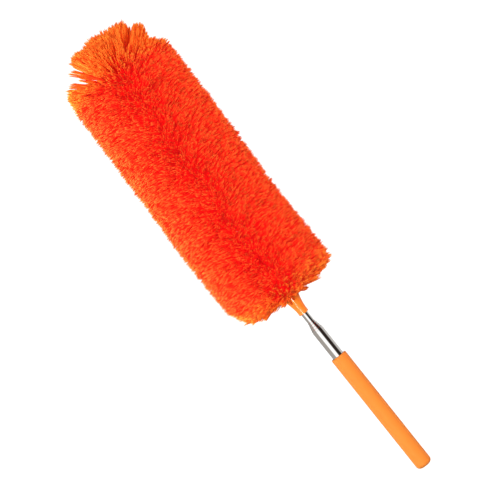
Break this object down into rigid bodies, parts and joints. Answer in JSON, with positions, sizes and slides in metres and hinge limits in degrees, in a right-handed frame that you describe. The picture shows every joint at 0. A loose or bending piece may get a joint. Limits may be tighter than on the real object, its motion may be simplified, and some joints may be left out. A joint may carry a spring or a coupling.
{
  "type": "feather duster",
  "caption": "Feather duster with a thick synthetic pile on a bendable core, a flared ferrule, and a telescopic steel pole that slides and turns out of a round grip.",
  "frame": {"origin": "centre of the grip's butt end", "axes": "+Z along the pole towards the tip of the head; +Y is the axis that the core bends about"},
  "size_m": [0.116, 0.116, 0.546],
  "materials": {
    "grip_plastic": "smooth moulded, soft sheen",
    "ferrule_plastic": "moulded, satin gloss",
    "polished_steel": "drawn and polished stainless steel",
    "spring_brass": "plain",
    "core_plastic": "plain",
    "backing_cloth": "knitted backing",
    "pile_fibre": "long glossy synthetic strands"
  },
  "bodies": {
    "handle": {"handle_grip": "grip_plastic", "outer_tube": "polished_steel", "outer_tube_bung": "core_plastic"},
    "stage_4": {"tube_4": "polished_steel", "tube_4_bush": "spring_brass", "tube_4_spring": "spring_brass"},
    "stage_3": {"tube_3": "polished_steel", "tube_3_bush": "spring_brass", "tube_3_spring": "spring_brass"},
    "stage_2": {"tube_2": "polished_steel", "tube_2_bush": "spring_brass", "tube_2_spring": "spring_brass"},
    "swivel": {"swivel_sleeve": "spring_brass"},
    "head_base": {"thin_tube": "polished_steel", "thin_tube_bush": "spring_brass", "thin_tube_keeper": "spring_brass", "thin_tube_plug": "core_plastic", "core_socket": "spring_brass", "head_ferrule": "ferrule_plastic", "pile_hem": "backing_cloth", "core_wires_base": "polished_steel", "core_sheath_base": "core_plastic", "pile_backing_base": "backing_cloth", "pile_base": "pile_fibre"},
    "head_lower": {"core_wires_lower": "polished_steel", "core_sheath_lower": "core_plastic", "pile_backing_lower": "backing_cloth", "pile_lower": "pile_fibre"},
    "head_upper": {"core_wires_upper": "polished_steel", "core_sheath_upper": "core_plastic", "pile_backing_upper": "backing_cloth", "pile_upper": "pile_fibre"},
    "head_tip": {"core_wires_tip": "polished_steel", "core_sheath_tip": "core_plastic", "pile_backing_tip": "backing_cloth", "pile_tip": "pile_fibre", "core_end_cap": "core_plastic"}
  },
  "joints": [
    {"name": "stage_4_slide", "type": "slide", "parent": "handle", "child": "stage_4", "axis": [0, 0, 1], "range_m": [0, 0.135]},
    {"name": "stage_3_slide", "type": "slide", "parent": "stage_4", "child": "stage_3", "axis": [0, 0, 1], "range_m": [0, 0.135]},
    {"name": "stage_2_slide", "type": "slide", "parent": "stage_3", "child": "stage_2", "axis": [0, 0, 1], "range_m": [0, 0.135]},
    {"name": "thin_tube_slide", "type": "slide", "parent": "stage_2", "child": "swivel", "axis": [0, 0, 1], "range_m": [0, 0.135]},
    {"name": "head_swivel", "type": "hinge", "parent": "swivel", "child": "head_base", "pos_m": [0, 0, 0.2], "axis": [0, 0, 1], "continuous": true},
    {"name": "core_bend_lower", "type": "hinge", "parent": "head_base", "child": "head_lower", "pos_m": [0, 0, 0.3], "axis": [0, 1, 0], "range_deg": [-20, 20]},
    {"name": "core_bend_middle", "type": "hinge", "parent": "head_lower", "child": "head_upper", "pos_m": [0, 0, 0.382], "axis": [0, 1, 0], "range_deg": [-20, 20]},
    {"name": "core_bend_upper", "type": "hinge", "parent": "head_upper", "child": "head_tip", "pos_m": [0, 0, 0.464], "axis": [0, 1, 0], "range_deg": [-20, 20]}
  ]
}
